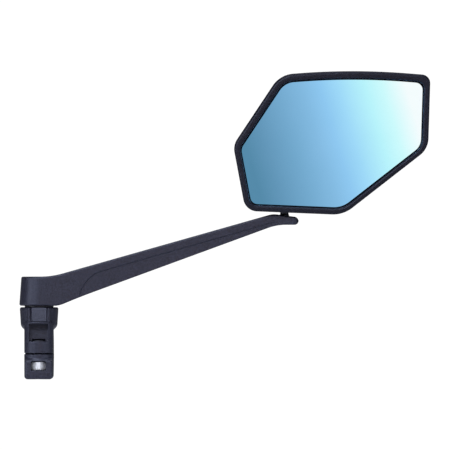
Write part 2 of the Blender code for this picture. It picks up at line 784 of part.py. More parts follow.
def socket_clamp():
    """Rear half of the ball socket, held by two screws."""
    outline = stadium((BALL.x, BALL.z), SOCKET_SPREAD, SOCKET_END - FIT)
    obj = prism("socket_clamp", outline, PARTING_Y, 3.6 * MM, "Y")
    soften(obj, 0.6 * MM, 2, 60)
    dome = ball("socket_dome", 9.6 * MM, BALL, helper=True)
    back = [(BALL.x - 12 * MM, BALL.z - 12 * MM), (BALL.x + 12 * MM, BALL.z - 12 * MM)]
    back += [(BALL.x + 12 * MM, BALL.z + 12 * MM), (BALL.x - 12 * MM, BALL.z + 12 * MM)]
    keep(dome, prism("socket_back", back, 1.0 * MM, 20 * MM, "Y", True))
    fuse(obj, dome)
    cut(obj, *socket_cutters("clamp_socket"))
    for side, x in screw_places():
        centre = (x, 0.0, BALL.z)
        cut(obj, rod(f"clamp_hole_{side}", 1.8 * MM, -10 * MM, 10 * MM, centre, "Y", 24, helper=True))
        cut(obj, rod(f"clamp_well_{side}", 3.1 * MM, 2.1 * MM, 10 * MM, centre, "Y", 32, helper=True))
    return finish(obj, "nylon")


def socket_fasteners():
    """Screws from behind, in brass inserts in the housing."""
    for side, x in screw_places():
        centre = (x, 0.0, BALL.z)
        profile = [
            (0.0, 4.1 * MM),
            (2.3 * MM, 4.1 * MM),
            (2.75 * MM, 3.6 * MM),
            (2.75 * MM, 2.4 * MM),
            (1.5 * MM, 2.4 * MM),
            (1.5 * MM, -6.6 * MM),
            (0.0, -6.6 * MM),
        ]
        screw = turned(f"socket_screw_{side}", profile, centre, "Y", 32)
        drive = [(x + u, BALL.z + v) for u, v in hexagon((0.0, 0.0), 2.5 * MM)]
        cut(screw, prism(f"drive_{side}", drive, 2.9 * MM, 5 * MM, "Y", True))
        finish(screw, "black_steel")
        insert = ring(f"socket_insert_{side}", 1.8 * MM, 2.5 * MM, -6.2 * MM, -0.6 * MM, centre, "Y", 24)
        finish(insert, "brass")


# Head

def head_outline(insets):
    """The head's outline in (x, z), with every edge moved inwards by its own inset."""
    count = len(HEAD_CORNERS)
    spots = [Vector(corner[:2]) * MM for corner in HEAD_CORNERS]
    lines = []
    for i in range(count):
        along = (spots[(i + 1) % count] - spots[i]).normalized()
        inwards = Vector((along.y, -along.x))
        lines.append((spots[i] + inwards * insets[i], along))
    corners = []
    for i in range(count):
        start, along = lines[i - 1]
        other, across = lines[i]
        reach = (other - start).cross(across) / along.cross(across)
        spot = start + along * reach
        shrink = (insets[i - 1] + insets[i]) / 2
        corners.append((spot.x, spot.y, max(HEAD_CORNERS[i][2] * MM - shrink, 5.0 * MM)))
    return rounded(corners, 5)


def even(inset):
    """The same inset on every edge."""
    return [inset] * len(HEAD_CORNERS)


def rim_insets(extra):
    """Each edge's rim width plus an extra."""
    return [corner[3] * MM + extra for corner in HEAD_CORNERS]


def dome(x, z):
    """How far the convex glass falls back at a point."""
    return ((x - GLASS_CENTRE[0]) ** 2 + (z - GLASS_CENTRE[1]) ** 2) / (2 * GLASS_CURVE)


def flat_ring(insets, y):
    """A ring of the head at one depth."""
    return [(x, y, z) for x, z in head_outline(insets)]


def domed_ring(insets, y, share=1.0):
    """A ring that follows the glass, shrunk towards the middle by a share."""
    points = []
    for x, z in head_outline(insets):
        u = GLASS_CENTRE[0] + (x - GLASS_CENTRE[0]) * share
        w = GLASS_CENTRE[1] + (z - GLASS_CENTRE[1]) * share
        points.append((u, y + dome(u, w), w))
    return points


def sheet(name, insets, front, back, helper=False):
    """A sheet of even thickness that follows the glass."""
    shares = [0.15, 0.45, 0.75, 1.0]
    rings = [domed_ring(insets, front, share) for share in shares]
    rings += [domed_ring(insets, back, share) for share in reversed(shares)]
    return loft(name, rings, helper)


def housing_shell():
    """Dished shell with a rounded rim and a ledge for the glass."""
    back = [(30.0, 1.0), (22.0, 0.9), (12.5, 0.3), (8.0, -1.2), (5.0, -3.2), (2.8, -5.6), (1.2, -8.2)]
    rim = [(0.3, -10.4), (0.0, -11.6), (0.2, -12.7), (0.9, -13.6), (2.1, -14.0), (3.4, -13.8)]
    rings = [flat_ring(even(inset * MM), y * MM) for inset, y in back + rim]
    lip = rim_insets(-0.2 * MM - GLASS_GAP)
    rings.append(flat_ring([inset - 0.4 * MM for inset in lip], -13.2 * MM))
    rings.append(flat_ring(lip, -12.6 * MM))
    rings.append(domed_ring(lip, LEDGE_Y))
    rings.append(domed_ring([inset + LEDGE_WIDTH for inset in lip], LEDGE_Y))
    inside = [(10.2, -4.6), (13.0, -2.2), (21.0, -1.2), (30.0, -1.1)]
    rings += [flat_ring(even(inset * MM), y * MM) for inset, y in inside]
    return loft("head_housing", rings)


def head_housing():
    """Head shell with the front half of the ball socket."""
    obj = housing_shell()
    outline = stadium((BALL.x, BALL.z), SOCKET_SPREAD, SOCKET_END)
    boss = prism("socket_boss", outline, -8.4 * MM, 1.5 * MM, "Y", True)
    cut(boss, sheet("glass_space", rim_insets(-0.4 * MM), -12 * MM, LEDGE_Y - 0.02 * MM, True))
    fuse(obj, boss)
    seat = stadium((BALL.x, BALL.z), SOCKET_SPREAD, SOCKET_END + 0.02 * MM)
    cut(obj, prism("socket_seat", seat, -PARTING_Y, 20 * MM, "Y", True))
    cut(obj, *socket_cutters("housing_socket"))
    for side, x in screw_places():
        centre = (x, 0.0, BALL.z)
        cut(obj, rod(f"insert_hole_{side}", 2.8 * MM, -7.2 * MM, 5 * MM, centre, "Y", 32, helper=True))
    return finish(obj, "nylon")


def mirror_glass():
    """Convex glass, a little smaller than the rim's opening."""
    back = GLASS_Y + GLASS_THICK
    return finish(sheet("mirror_glass", rim_insets(-0.2 * MM), GLASS_Y, back), "blue_mirror")


def glass_pad():
    """Adhesive foam sheet behind the glass."""
    front = GLASS_Y + GLASS_THICK + FIT
    return finish(sheet("glass_pad", rim_insets(1.0 * MM), front, front + PAD_THICK), "foam")


def build():
    """Make every sub-part."""
    clear_scene()
    clamp_upper()
    clamp_lower()
    liner("clamp_liner_upper", 1)
    liner("clamp_liner_lower", -1)
    hinge_pin()
    clamp_bolt()
    seat = HEAD_TOP - HEAD_HEIGHT - FIT
    bolt = (0.0, BOLT_Y, 0.0)
    washer("clamp_washer", M6_HOLE, HEAD_RADIUS, seat - WASHER_THICK, seat, bolt, "steel")
    nut("clamp_nut", NUT_TOP - NUT_HEIGHT, NUT_TOP, (0.0, BOLT_Y), 30.0, "steel")
    pivot_bolt()
    arm_beam()
    hub_parts()
    ball_stud()
    stud_parts()
    socket_liner()
    head_housing()
    socket_clamp()
    socket_fasteners()
    mirror_glass()
    glass_pad()


build()
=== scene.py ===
"""Looks of the bike mirror: moulded nylon clamp, arm and head, tinted convex glass and metal fasteners.

The moulded parts are surfaces of distance fields, so that every edge and fillet is round geometry.
A field is written in millimetres and is negative inside. Everything else is in metres.
"""

import json
from math import atan2, cos, pi, radians, sqrt

import bmesh
import bpy
import numpy as np
import openvdb
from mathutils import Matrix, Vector


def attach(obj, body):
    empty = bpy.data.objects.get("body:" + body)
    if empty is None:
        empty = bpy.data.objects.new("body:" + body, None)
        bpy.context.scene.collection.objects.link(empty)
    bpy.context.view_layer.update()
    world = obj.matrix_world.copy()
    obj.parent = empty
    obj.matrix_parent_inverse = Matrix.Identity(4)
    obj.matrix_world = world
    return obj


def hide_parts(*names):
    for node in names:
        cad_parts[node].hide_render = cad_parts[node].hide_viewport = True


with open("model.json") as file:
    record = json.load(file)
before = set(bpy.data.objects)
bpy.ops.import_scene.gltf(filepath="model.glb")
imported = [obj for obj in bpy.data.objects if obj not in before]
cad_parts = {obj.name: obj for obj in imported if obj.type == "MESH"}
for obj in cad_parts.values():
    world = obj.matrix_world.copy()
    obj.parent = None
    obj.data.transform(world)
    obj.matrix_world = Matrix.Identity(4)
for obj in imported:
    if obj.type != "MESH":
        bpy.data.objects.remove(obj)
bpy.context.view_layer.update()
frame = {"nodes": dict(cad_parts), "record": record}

MM = 0.001


# Distance fields

def meet(a, b, r=0.0):
    """Inside both fields, with the edge between them rounded to radius r."""
    if r <= 0:
        return np.maximum(a, b)
    over = np.hypot(np.maximum(a + r, 0), np.maximum(b + r, 0))
    return np.minimum(np.maximum(a, b), -r) + over


def join(a, b, r=0.0):
    """Inside either field, with a fillet of radius r where they meet."""
    return -meet(-a, -b, r)


def carve(a, hole, r=0.0):
    """Field a without the hole, with the hole's rim rounded to radius r."""
    return meet(a, -hole, r)


def ease_max(a, b, width):
    """The larger of two, eased over where they differ by less than width."""
    near = np.maximum(width - np.abs(a - b), 0)
    return np.maximum(a, b) + near * near / (4 * width)


def ease_min(a, b, width):
    """The smaller of two, eased over where they differ by less than width."""
    return -ease_max(-a, -b, width)


def slab(value, low, high, r=0.0):
    """Between two values."""
    return meet(low - value, value - high, r)


def level(slope):
    """What turns a height over a slope into a distance from it."""
    return 1 / sqrt(1 + slope * slope)


def hexagon(x, y, across):
    """Hex prism whose corners point along y."""
    flats = np.maximum(np.abs(x), np.abs(x) / 2 + np.abs(y) * sqrt(3) / 2)
    return flats - across / 2


def sample(values, points):
    """Values between grid points."""
    base = np.clip(np.floor(points).astype(int), 0, np.array(values.shape) - 2)
    part = points - base
    total = np.zeros(len(points))
    for corner in np.ndindex(2, 2, 2):
        weight = np.prod(np.where(corner, part, 1 - part), axis=1)
        i, j, k = (base + corner).T
        total += weight * values[i, j, k]
    return total


def surface(name, field, low, high, step):
    """Mesh of a field's surface inside a box, shaded by the field's own slope."""
    axes = [np.arange(a - 2 * step, b + 3 * step, step) for a, b in zip(low, high)]
    x, y, z = np.meshgrid(*axes, indexing="ij", sparse=True)
    values = np.broadcast_to(field(x, y, z), [len(axis) for axis in axes]).astype(np.float32)
    grid = openvdb.FloatGrid(1000.0)
    grid.copyFromArray(values)
    points, quads = grid.convertToQuads()
    slopes = []
    for shift in np.eye(3) * 0.5:
        slopes.append(sample(values, points + shift) - sample(values, points - shift))
    normals = np.stack(slopes, axis=1)
    normals /= np.maximum(np.linalg.norm(normals, axis=1, keepdims=True), 1e-9)
    places = (points * step + [axis[0] for axis in axes]) * MM
    a, b, c = (places[quads[:, i]] for i in range(3))
    facing = np.einsum("ij,ij->i", np.cross(b - a, c - a), normals[quads[:, 0]])
    if facing.mean() < 0:
        quads = quads[:, ::-1]
    mesh = bpy.data.meshes.new(name)
    mesh.from_pydata(places.tolist(), [], quads.tolist())
    mesh.shade_smooth()
    mesh.normals_split_custom_set_from_vertices(normals.tolist())
    return mesh


# Pieces

def add_piece(mesh, body, slot, material, *nodes):
    """Put a mesh in the scene in place of CAD nodes."""
    obj = bpy.data.objects.new(mesh.name, mesh)
    bpy.context.scene.collection.objects.link(obj)
    mesh.materials.clear()
    mesh.materials.append(material)
    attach(obj, body)
    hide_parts(*nodes)


# Materials

def new_material(name):
    """A material with its node tree and shader."""
    material = bpy.data.materials.new(name)
    material.use_nodes = True
    return material, material.node_tree, material.node_tree.nodes["Principled BSDF"]


def add_noise(tree, scale, detail=4.0, stretch=(1.0, 1.0, 1.0)):
    """Noise over the object's own coordinates, with features about 1 / scale metres across."""
    place = tree.nodes.new("ShaderNodeTexCoord")
    mapping = tree.nodes.new("ShaderNodeMapping")
    mapping.inputs["Scale"].default_value = stretch
    noise = tree.nodes.new("ShaderNodeTexNoise")
    noise.inputs["Scale"].default_value = scale
    noise.inputs["Detail"].default_value = detail
    noise.inputs["Roughness"].default_value = 0.55
    tree.links.new(place.outputs["Object"], mapping.inputs["Vector"])
    tree.links.new(mapping.outputs["Vector"], noise.inputs["Vector"])
    return noise.outputs["Fac"]


def spread(tree, source, target, low, high, start=0.3, end=0.7):
    """Drive a shader input from a texture, between two values."""
    span = tree.nodes.new("ShaderNodeMapRange")
    span.inputs["From Min"].default_value = start
    span.inputs["From Max"].default_value = end
    span.inputs["To Min"].default_value = low
    span.inputs["To Max"].default_value = high
    tree.links.new(source, span.inputs["Value"])
    tree.links.new(span.outputs["Result"], target)


def tint(tree, source, target, colours):
    """Drive a colour from a texture through a ramp of (position, colour)."""
    ramp = tree.nodes.new("ShaderNodeValToRGB")
    stops = ramp.color_ramp.elements
    while len(stops) < len(colours):
        stops.new(0.5)
    for stop, (position, colour) in zip(stops, colours):
        stop.position = position
        stop.color = (*colour, 1.0)
    tree.links.new(source, ramp.inputs["Fac"])
    tree.links.new(ramp.outputs["Color"], target)


def bump(tree, source, shader, depth, strength):
    """Relief from a texture, with its depth in metres."""
    relief = tree.nodes.new("ShaderNodeBump")
    relief.inputs["Distance"].default_value = depth
    relief.inputs["Strength"].default_value = strength
    tree.links.new(source, relief.inputs["Height"])
    tree.links.new(relief.outputs["Normal"], shader.inputs["Normal"])


def shaded(colour, share):
    """A colour made lighter or darker."""
    return tuple(min(part * share, 1.0) for part in colour)


def plastic(name, colour, roughness, grain, relief, sheen=0.5, tone=(1.0, 1.0, 1.0)):
    """Moulded plastic with the fine grain of a spark-eroded tool."""
    material, tree, shader = new_material(name)
    fine = add_noise(tree, 1 / grain, 5.0)
    speckle = [(0.35, shaded(colour, 0.55)), (0.65, shaded(colour, 1.5))]
    tint(tree, fine, shader.inputs["Base Color"], speckle)
    spread(tree, fine, shader.inputs["Roughness"], roughness - 0.08, roughness + 0.08)
    bump(tree, fine, shader, relief, 0.9)
    shader.inputs["Specular IOR Level"].default_value = sheen
    shader.inputs["Specular Tint"].default_value = (*tone, 1.0)
    return material


def metal(name, colour, roughness, stretch, scale=4000.0):
    """Metal with fine tool marks."""
    material, tree, shader = new_material(name)
    marks = add_noise(tree, scale, 3.0, stretch)
    shader.inputs["Metallic"].default_value = 1.0
    shades = [(0.3, shaded(colour, 0.88)), (0.7, shaded(colour, 1.06))]
    tint(tree, marks, shader.inputs["Base Color"], shades)
    spread(tree, marks, shader.inputs["Roughness"], roughness - 0.06, roughness + 0.06)
    bump(tree, marks, shader, 0.004 * MM, 0.4)
    return material


def mirror_coating():
    """Blue anti-glare coating, a little hazy in places."""
    material, tree, shader = new_material("blue_mirror")
    haze = add_noise(tree, 35.0, 2.0)
    shader.inputs["Metallic"].default_value = 1.0
    shades = [(0.2, (0.285, 0.625, 0.975)), (0.8, (0.30, 0.64, 1.0))]
    tint(tree, haze, shader.inputs["Base Color"], shades)
    spread(tree, haze, shader.inputs["Roughness"], 0.012, 0.03)
    return material


def foam():
    """Closed-cell foam tape."""
    material, tree, shader = new_material("foam")
    cells = add_noise(tree, 2500.0, 2.0)
    shades = [(0.3, (0.03, 0.03, 0.033)), (0.7, (0.07, 0.07, 0.075))]
    tint(tree, cells, shader.inputs["Base Color"], shades)
    shader.inputs["Roughness"].default_value = 0.95
    bump(tree, cells, shader, 0.1 * MM, 0.8)
    return material


NYLON_TONE = (0.76, 0.8, 1.0)   # bluish sheen
NYLON_GRAIN = 1.1 * MM
NYLON_RELIEF = 0.1 * MM
NYLON_ROUGHNESS = 0.4


def nylon(name, colour, sheen):
    """Blue-black glass-filled nylon."""
    return plastic(name, colour, NYLON_ROUGHNESS, NYLON_GRAIN, NYLON_RELIEF, sheen, NYLON_TONE)


FINISHES = {
    "nylon": nylon("nylon", (0.0115, 0.011, 0.0185), 0.5),
    # darker copy of the nylon with less sheen, used for the head: painted shade on the head and its rim
    "head_nylon_painted_shade": nylon("head_nylon_painted_shade", (0.0055, 0.0052, 0.0088), 0.22),
    "liner_rubber": plastic("liner_rubber", (0.009, 0.010, 0.014), 0.75, 0.25 * MM, 0.04 * MM, 0.35),
    "acetal": plastic("acetal", (0.012, 0.012, 0.016), 0.4, 0.8 * MM, 0.01 * MM),
    "steel": metal("steel", (0.72, 0.72, 0.73), 0.55, (1.0, 1.0, 6.0)),
    "black_steel": metal("black_steel", (0.028, 0.029, 0.034), 0.34, (1.0, 1.0, 3.0)),
    "brass": metal("brass", (0.72, 0.52, 0.24), 0.3, (1.0, 4.0, 1.0)),
    "blue_mirror": mirror_coating(),
    "foam": foam(),
}


# Handlebar clamp

HALF_WIDTH = 9.95
RING = 17.8
BORE = 12.4
SPLIT_HALF_GAP = 0.35
BOLT_Y = -18.0
BOLT_HOLE = 3.4
BOLT_HOLE_TOP = 5.0
BOLT_HOLE_STRETCH = 0.5         # half of what lets the lower half swing on its pin
BOSS_Y = -13.2                  # middle of the bolt boss's round front
BOSS_RADIUS = 11.0
BOSS_TOP = 22.2
BOSS_BACK = (-1.9, 17.7)        # y and z of a point on the boss's leaning back
BOSS_BACK_LEAN = 0.2533
HEAD_WELL = (5.3, 3.5, 9.8)     # radius, bottom and top of the well round the bolt's head
LOWER_BOSS = (-12.0, -0.4)      # bottom and top
LOWER_BOSS_BACK = -12.0
FRONT_Y = -24.6                 # flat front of the lower half
KEEL_Z = -17.8                  # flat bottom of the lower half
HOUSING_TOP = (-19.0, -2.4)     # y and z where the nut housing starts to slope down to its front
HOUSING_SLOPE = 0.4464
SLOT_HALF_WIDTH = 5.08
SLOT_Z = (-11.5, -5.3)
SLOT_BACK = -11.93
PIN_Y = 19.0
PIN_HOLE = 1.8
KNUCKLE = 3.96
KNUCKLE_SPACE = 4.3
MIDDLE_KNUCKLE = 3.2            # half its width
PLAY = 0.3
BLOCK_RADIUS = 13.3
BLOCK_DRAFT = 0.06
BLOCK_WIDEST = 30.5
BLOCK_TOP = 31.75
BLOCK_BOTTOM = 16.0
PIVOT_HOLE = (3.3, 5.0)         # radius and bottom
PIVOT_HEAD = (10.6, 18.2)       # width across flats and top of the pivot bolt head's pocket
TOWER_HALF_WIDTH = 7.7
TOWER_FRONT = -14.5
TOWER_Z = (15.0, 31.25)
TOWER_BACK = -2.0
LEDGE_FRONT = -16.0
LEDGE_Z = (19.0, 22.5)
KEY_LEAN = 0.17                 # how far the channel's floor leans back
CHANNEL_FOOT = (-13.6, 22.3)    # y and z at the bottom of the channel's floor
CHANNEL_FLARE = 0.55
CHANNEL_HALF_WIDTH = (5.1, 6.2)
POCKET_LEAN = 0.07              # how far the pocket's back wall leans back
POCKET_FOOT = (-15.4, 8.5)      # y and z at the bottom of the back wall
POCKET_HALF_WIDTH = 6.7
POCKET_TOP = 20.6


def swivel_block(x, y, z):
    """Round block that carries the hub, a little narrower at the bottom."""
    side = np.hypot(x, y) - (BLOCK_RADIUS - BLOCK_DRAFT * (BLOCK_WIDEST - z))
    return meet(meet(side, z - BLOCK_TOP, 1.2), BLOCK_BOTTOM - z, 4.4)


def key_tower(x, y, z):
    """Flat front of the block, with a ledge over the key pocket."""
    beside = np.abs(x) - TOWER_HALF_WIDTH
    tower = meet(meet(beside, TOWER_FRONT - y, 0.7), slab(z, *TOWER_Z, 0.6), 0.5)
    ledge = meet(meet(beside, LEDGE_FRONT - y, 0.5), slab(z, *LEDGE_Z, 0.5), 0.4)
    return np.maximum(join(tower, ledge, 0.5), y - TOWER_BACK)


def key_recess(x, y, z):
    """The channel for the hex key and the pocket below it, whose back walls lean back."""
    foot_y, foot_z = CHANNEL_FOOT
    floor = (y - foot_y - (z - foot_z) * KEY_LEAN) * level(KEY_LEAN)
    narrow, wide = CHANNEL_HALF_WIDTH
    sides = (np.abs(x) - narrow + CHANNEL_FLARE * floor) * level(CHANNEL_FLARE)
    channel = meet(meet(np.maximum(sides, np.abs(x) - wide), floor, 0.3), foot_z - z, 0.5)
    foot_y, foot_z = POCKET_FOOT
    wall = y - foot_y - (z - foot_z) * POCKET_LEAN
    pocket = meet(np.abs(x) - POCKET_HALF_WIDTH, slab(z, foot_z, POCKET_TOP, 0.6), 0.9)
    return channel, meet(pocket, wall, 0.5)


def boss_plan(x, y, radius):
    """Plan distance to the bolt boss, which has straight sides and a round front."""
    return np.where(y < BOSS_Y, np.hypot(x, y - BOSS_Y), np.abs(x)) - radius


def hinge(solid, x, y, z, middle):
    """Knuckles around the hinge pin: one in the middle, or one on each side."""
    around = np.hypot(y - PIN_Y, z)
    inner = np.abs(x) - MIDDLE_KNUCKLE
    outer = slab(np.abs(x), MIDDLE_KNUCKLE + PLAY, HALF_WIDTH - 0.1)
    own, other = (inner, -inner) if middle else (outer, inner - PLAY)
    solid = carve(solid, np.maximum(around - KNUCKLE_SPACE, other), 0.2)
    solid = join(solid, meet(around - KNUCKLE, own, 0.3), 0.3)
    return carve(solid, around - PIN_HOLE, 0.2)


def upper_half(x, y, z):
    """Upper half of the clamp."""
    wide = np.abs(x) - HALF_WIDTH
    back_y, back_z = BOSS_BACK
    behind = (y - back_y + (z - back_z) * BOSS_BACK_LEAN) * level(BOSS_BACK_LEAN)
    side = join(np.hypot(y, z) - RING, np.maximum(behind, z - BOSS_TOP), 2.0)
    solid = meet(meet(side, z - BOSS_TOP, 0.8), boss_plan(x, y, BOSS_RADIUS), 0.7)
    solid = meet(solid, wide, 0.6)
    solid = np.maximum(solid, meet(wide, z - BOSS_TOP - 0.05, 4.0))
    solid = meet(solid, SPLIT_HALF_GAP - z, 0.3)
    solid = join(solid, swivel_block(x, y, z), 1.0)
    solid = join(solid, key_tower(x, y, z), 0.5)
    for recess in key_recess(x, y, z):
        solid = carve(solid, recess, 0.35)
    around = np.hypot(x, y - BOLT_Y)
    radius, bottom, top = HEAD_WELL
    solid = carve(solid, np.maximum(around - radius, slab(z, bottom, top)), 0.3)
    solid = carve(solid, np.maximum(around - BOLT_HOLE, z - BOLT_HOLE_TOP), 0.2)
    solid = carve(solid, np.hypot(y, z) - BORE, 0.3)
    radius, bottom = PIVOT_HOLE
    solid = carve(solid, np.maximum(np.hypot(x, y) - radius, bottom - z), 0.2)
    across, top = PIVOT_HEAD
    solid = carve(solid, np.maximum(hexagon(y, x, across), z - top), 0.2)
    return hinge(solid, x, y, z, True)


def lower_half(x, y, z):
    """Lower half of the clamp, with the nut's housing in front."""
    wide = np.abs(x) - HALF_WIDTH
    top_y, top_z = HOUSING_TOP
    slope = (z - top_z - (y - top_y) * HOUSING_SLOPE) * level(HOUSING_SLOPE)
    front = meet(meet(FRONT_Y - y, z - top_z, 0.5), slope, 1.0)
    front = meet(meet(front, wide, 2.4), KEEL_Z - z, 2.5)
    front = np.maximum(front, y)
    boss = meet(boss_plan(x, y, BOSS_RADIUS - 0.1), slab(z, *LOWER_BOSS), 0.5)
    boss = np.maximum(meet(boss, wide + 0.05, 0.5), y - LOWER_BOSS_BACK)
    solid = join(join(np.hypot(y, z) - RING, front, 1.0), boss, 1.6)
    solid = np.maximum(solid, np.maximum(FRONT_Y - y, KEEL_Z - z))
    solid = meet(solid, meet(wide, KEEL_Z - 0.05 - z, 2.5), 0.5)
    solid = meet(solid, z + SPLIT_HALF_GAP, 0.3)
    slot = meet(np.abs(x) - SLOT_HALF_WIDTH, slab(z, *SLOT_Z), 0.2)
    solid = carve(solid, np.maximum(slot, y - SLOT_BACK), 0.35)
    along = np.maximum(np.abs(y - BOLT_Y + BOLT_HOLE_STRETCH) - BOLT_HOLE_STRETCH, 0)
    solid = carve(solid, np.hypot(x, along) - BOLT_HOLE - 0.1, 0.2)
    solid = carve(solid, np.hypot(y, z) - BORE, 0.3)
    return hinge(solid, x, y, z, False)


# Sleeves and fasteners

SLEEVE_RADII = (11.15, 12.1)
SLEEVE_SPLIT = 0.65
RIB_COUNT = 36
RIB_DEPTH = 0.3
RIB_HALF_LENGTH = 8.6
FRICTION_RADII = (3.4, 10.0)
FRICTION_Z = (31.78, 33.95)
NUT_ACROSS = 10.0
NUT_Z = (-11.1, -5.7)
NUT_ROUND = 0.3                 # how far its front and back edges are rounded off
NUT_GROOVE = (5.9, 0.8)         # the groove's distance from the nut's axis, and its radius
NUT_CORNER = 5.05               # radius that the chamfer leaves on the nut's ends
NUT_CHAMFER = 1.75
NUT_BORE = 3.1
SCREW_HEAD = (5.0, 5.3, 9.3)    # radius, bottom and top
SCREW_RADIUS = 3.0
SCREW_END = -14.7
THREAD_DEPTH = 0.35
THREAD_TOP = 1.0
KEY_ACROSS = 4.0
KEY_FLOOR = 6.9


def upper_sleeve(x, y, z):
    """Upper half of the rubber sleeve, ribbed inside."""
    inner, outer = SLEEVE_RADII
    ribs = RIB_DEPTH * (np.sin(np.arctan2(z, y) * RIB_COUNT) > 0.2)
    around = np.hypot(y, z)
    wall = slab(around, inner + ribs * (np.abs(x) < RIB_HALF_LENGTH), outer, 0.15)
    return meet(meet(wall, np.abs(x) - HALF_WIDTH, 0.2), SLEEVE_SPLIT - z, 0.2)


def lower_sleeve(x, y, z):
    """Lower half of the rubber sleeve."""
    return upper_sleeve(x, y, -z)


def friction_ring(x, y, z):
    """Low-friction washer between the block and the hub."""
    return meet(slab(np.hypot(x, y), *FRICTION_RADII), slab(z, *FRICTION_Z), 0.25)


def nut_body(x, y, z):
    """Hex nut with its corners taken off, rounded and grooved on its front and back edges."""
    y = y - BOLT_Y
    around = np.hypot(x, y)
    low, high = NUT_Z
    solid = meet(hexagon(np.hypot(x, NUT_ROUND), y, NUT_ACROSS), slab(z, low, high), 0.12)
    groove_y, groove_radius = NUT_GROOVE
    solid = carve(solid, np.hypot(x, np.abs(y) - groove_y) - groove_radius, 0.25)
    for end in (z - high, low - z):
        solid = meet(solid, (around - NUT_CORNER + end * NUT_CHAMFER) * level(NUT_CHAMFER), 0.1)
    return carve(solid, around - NUT_BORE, 0.3)


def bolt_body(x, y, z):
    """Low-headed socket screw with a thread."""
    y = y - BOLT_Y
    around = np.hypot(x, y)
    radius, bottom, top = SCREW_HEAD
    head = meet(around - radius, slab(z, bottom, top), 0.6)
    turn = (z - np.arctan2(y, x) / (2 * pi)) % 1.0
    thread = THREAD_DEPTH * (1 - np.abs(2 * turn - 1)) * (z < THREAD_TOP)
    shank = meet(around - SCREW_RADIUS + thread, slab(z, SCREW_END, 6.0), 0.6)
    solid = join(head, shank, 0.3)
    return carve(solid, np.maximum(hexagon(x, y, KEY_ACROSS), KEY_FLOOR - z), 0.15)


# Arm

SLOPE_X = 28.2                  # where the heights of the two sloping sides are given
TOP_Z = 58.5
TOP_SLOPE = 0.2833
UNDER_Z = 38.85
UNDER_SLOPE = 0.3667
STEEP = (25.4, 37.82, 0.4386)   # x, z and slope of the steeper underside next to the hub
HUB_RADIUS = 13.6
HUB_Z = (32.8, 52.9)
HUB_DRAFT = 0.07
HUB_DRAFT_FROM = 34.0
HUB_DRAFT_FADE = 6.0            # how far from the pivot's axis it starts and ends to fade
TOE_RADIUS = 5.0
TOE_X = 179.1
TOE_TOP = (161.2, 96.18, 0.13)  # x, z and fall of the toe's top
TOE_UNDER = 88.6
PANEL_START = (27.7, 38.0, 0.02)    # x, z and lean of its end next to the hub
PANEL_ROUND = 15.0
PANEL_END = 163.0
PANEL_DEPTH = 0.8
RAIL_HEIGHT = 6.0
STUD_X = 169.2
ARM_BORES = [                   # x of the axis, radius, bottom and top
    (0.0, 5.2, 30.0, 60.0),         # for the pivot's bushing
    (0.0, 10.6, 30.0, 34.3),        # for the friction washer
    (0.0, 8.6, 42.0, 60.0),         # for the disc spring and the nut
    (0.0, 10.3, 50.8, 60.0),        # for the cap
    (STUD_X, 3.6, 93.0, 100.0),     # for the ball stud's foot
    (STUD_X, 1.8, 80.0, 100.0),     # for the stud's screw
    (STUD_X, 3.3, 80.0, 91.2),      # for the screw's head and washer
]


def taper(x, y, reach, start, end):
    """Plan distance to two circles joined by their tangents."""
    lean = (start - end) / reach
    rise = sqrt(1 - lean * lean)
    across = np.abs(y)
    along = rise * x - lean * across
    side = lean * x + rise * across - start
    near = np.hypot(x, y) - start
    far = np.hypot(x - reach, y) - end
    return np.where(along < 0, near, np.where(along > rise * reach, far, side))


def arm_top(x):
    """Height of the arm's top."""
    rise = ease_max(HUB_Z[1], TOP_Z + TOP_SLOPE * (x - SLOPE_X), 2.2)
    toe_x, toe_z, fall = TOE_TOP
    return ease_min(rise, toe_z - fall * (x - toe_x), 1.2)


def arm_bottom(x):
    """Height of the arm's underside."""
    steep_x, steep_z, steepness = STEEP
    line = UNDER_Z + UNDER_SLOPE * (x - SLOPE_X)
    line = ease_min(line, steep_z + steepness * (x - steep_x), 0.8)
    return ease_max(HUB_Z[0], ease_min(line, TOE_UNDER, 2.4), 1.6)


def arm_panel(x, z, plan):
    """Shallow panel in both faces, below the rail along the arm's top."""
    rail = (z - TOP_Z + RAIL_HEIGHT - TOP_SLOPE * (x - SLOPE_X)) * level(TOP_SLOPE)
    start_x, start_z, lean = PANEL_START
    panel = meet(rail, start_x + lean * (z - start_z) - x, PANEL_ROUND)
    return np.maximum(np.maximum(panel, x - PANEL_END), -PANEL_DEPTH - plan)


def arm_body(x, y, z):
    """Arm, hub and toe."""
    fade = np.clip((HUB_DRAFT_FADE - x) / (2 * HUB_DRAFT_FADE), 0, 1)
    draft = HUB_DRAFT * np.maximum(z - HUB_DRAFT_FROM, 0) * fade
    plan = taper(x, y, TOE_X - TOE_RADIUS, HUB_RADIUS, TOE_RADIUS) + draft
    over = (z - arm_top(x)) * level(TOP_SLOPE)
    under = (arm_bottom(x) - z) * level(UNDER_SLOPE)
    solid = meet(meet(plan, over, 1.1), under, 1.1)
    tip = x - TOE_X
    solid = np.maximum(solid, np.maximum(meet(over, tip, 2.9), meet(under, tip, 2.9)))
    solid = carve(solid, arm_panel(x, z, plan), 0.35)
    for axis_x, radius, bottom, top in ARM_BORES:
        bore = np.maximum(np.hypot(x - axis_x, y) - radius, slab(z, bottom, top))
        solid = carve(solid, bore, 0.25)
    return solid


# Head

